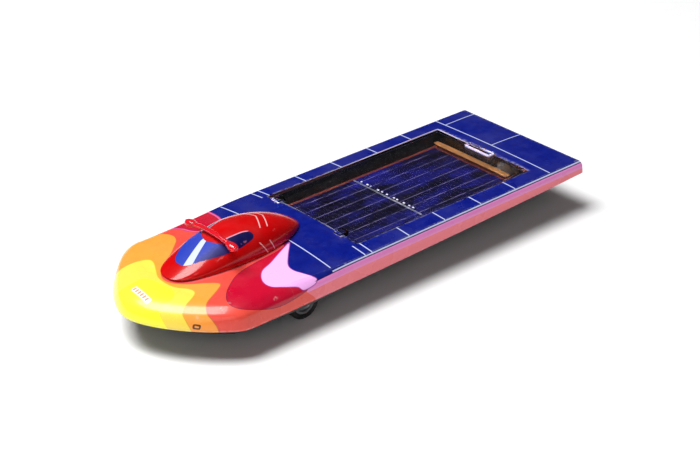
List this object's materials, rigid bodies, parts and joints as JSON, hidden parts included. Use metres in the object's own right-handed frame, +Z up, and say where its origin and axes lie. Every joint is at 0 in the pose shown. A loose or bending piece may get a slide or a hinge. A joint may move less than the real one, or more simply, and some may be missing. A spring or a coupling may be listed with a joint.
{
  "type": "solar racing car kit",
  "caption": "Small solar racing car: flame-printed shell with a windowed solar panel, red canopy and mirror bar, over a black pan with steered front wheels and a geared rear wheel.",
  "frame": {"origin": "on the ground plane under the middle of the car's overall length and width", "axes": "+X points to the nose, +Y to the car's left side and +Z up"},
  "size_m": [0.15, 0.0518, 0.0252],
  "materials": {
    "printed_shell": "glossy printed livery: blue deck, pink and red sides, flame bands to a yellow nose",
    "canopy_red": "glossy red with printed blue windows and fine pale lines",
    "mirror_red": "glossy translucent red",
    "clear_plastic": "clear moulded",
    "panel_board": "brown laminate board",
    "solar_cell": "dark blue cell under clear resin",
    "tinned_strip": "tinned copper strip",
    "contact_copper": "dull copper",
    "pan_black": "black satin moulding",
    "beam_black": "black satin moulding",
    "wheel_white": "white moulding",
    "tyre_rubber": "black rubber",
    "steel": "bright steel",
    "brass": "plain brass",
    "gear_white": "natural nylon",
    "motor_can": "plated steel can",
    "clip_grey": "grey moulding",
    "lead_red": "red insulation",
    "lead_black": "black insulation"
  },
  "bodies": {
    "chassis": {"body_shell": "printed_shell", "canopy": "canopy_red", "mirror_bar": "mirror_red", "panel_case": "clear_plastic", "panel_board": "panel_board", "solar_cell_front": "solar_cell", "solar_cell_rear": "solar_cell", "cell_ribbon": "tinned_strip", "contact_strip": "contact_copper", "chassis_pan": "pan_black", "body_screw_front": "steel", "body_screw_middle": "steel", "steering_screw": "steel", "rear_bush_left": "brass", "rear_bush_right": "brass", "motor_can": "motor_can", "motor_end_cap": "beam_black", "motor_terminal_front": "tinned_strip", "motor_terminal_rear": "tinned_strip", "motor_clip": "clip_grey", "lead_red": "lead_red", "lead_black": "lead_black"},
    "steering": {"steering_beam": "beam_black", "front_stub_axle_left": "steel", "front_stub_axle_right": "steel", "front_axle_cap_left": "wheel_white", "front_axle_cap_right": "wheel_white"},
    "front_wheel_left": {"front_wheel_left": "wheel_white", "front_tyre_left": "tyre_rubber"},
    "front_wheel_right": {"front_wheel_right": "wheel_white", "front_tyre_right": "tyre_rubber"},
    "rear_drive": {"rear_axle": "steel", "rear_wheel": "wheel_white", "rear_tyre": "tyre_rubber", "spur_gear": "gear_white"},
    "motor_rotor": {"motor_shaft": "steel", "motor_pinion": "brass"}
  },
  "joints": [
    {"name": "steering_turn", "type": "hinge", "parent": "chassis", "child": "steering", "pos_m": [0.0299, 0, 0.0068], "axis": [0, 0, 1], "range_deg": [-8, 8]},
    {"name": "front_wheel_left_spin", "type": "hinge", "parent": "steering", "child": "front_wheel_left", "pos_m": [0.0299, 0.0184, 0.005], "axis": [0, 1, 0], "continuous": true},
    {"name": "front_wheel_right_spin", "type": "hinge", "parent": "steering", "child": "front_wheel_right", "pos_m": [0.0299, -0.0184, 0.005], "axis": [0, 1, 0], "continuous": true},
    {"name": "rear_axle_spin", "type": "hinge", "parent": "chassis", "child": "rear_drive", "pos_m": [-0.064, 0, 0.0058], "axis": [0, 1, 0], "continuous": true},
    {"name": "motor_spin", "type": "hinge", "parent": "chassis", "child": "motor_rotor", "pos_m": [-0.06819, 0, 0.01003], "axis": [0, 1, 0], "continuous": true}
  ],
  "couplings": [
    {"joint": "motor_spin", "follows": "rear_axle_spin", "ratio": -2.4}
  ]
}
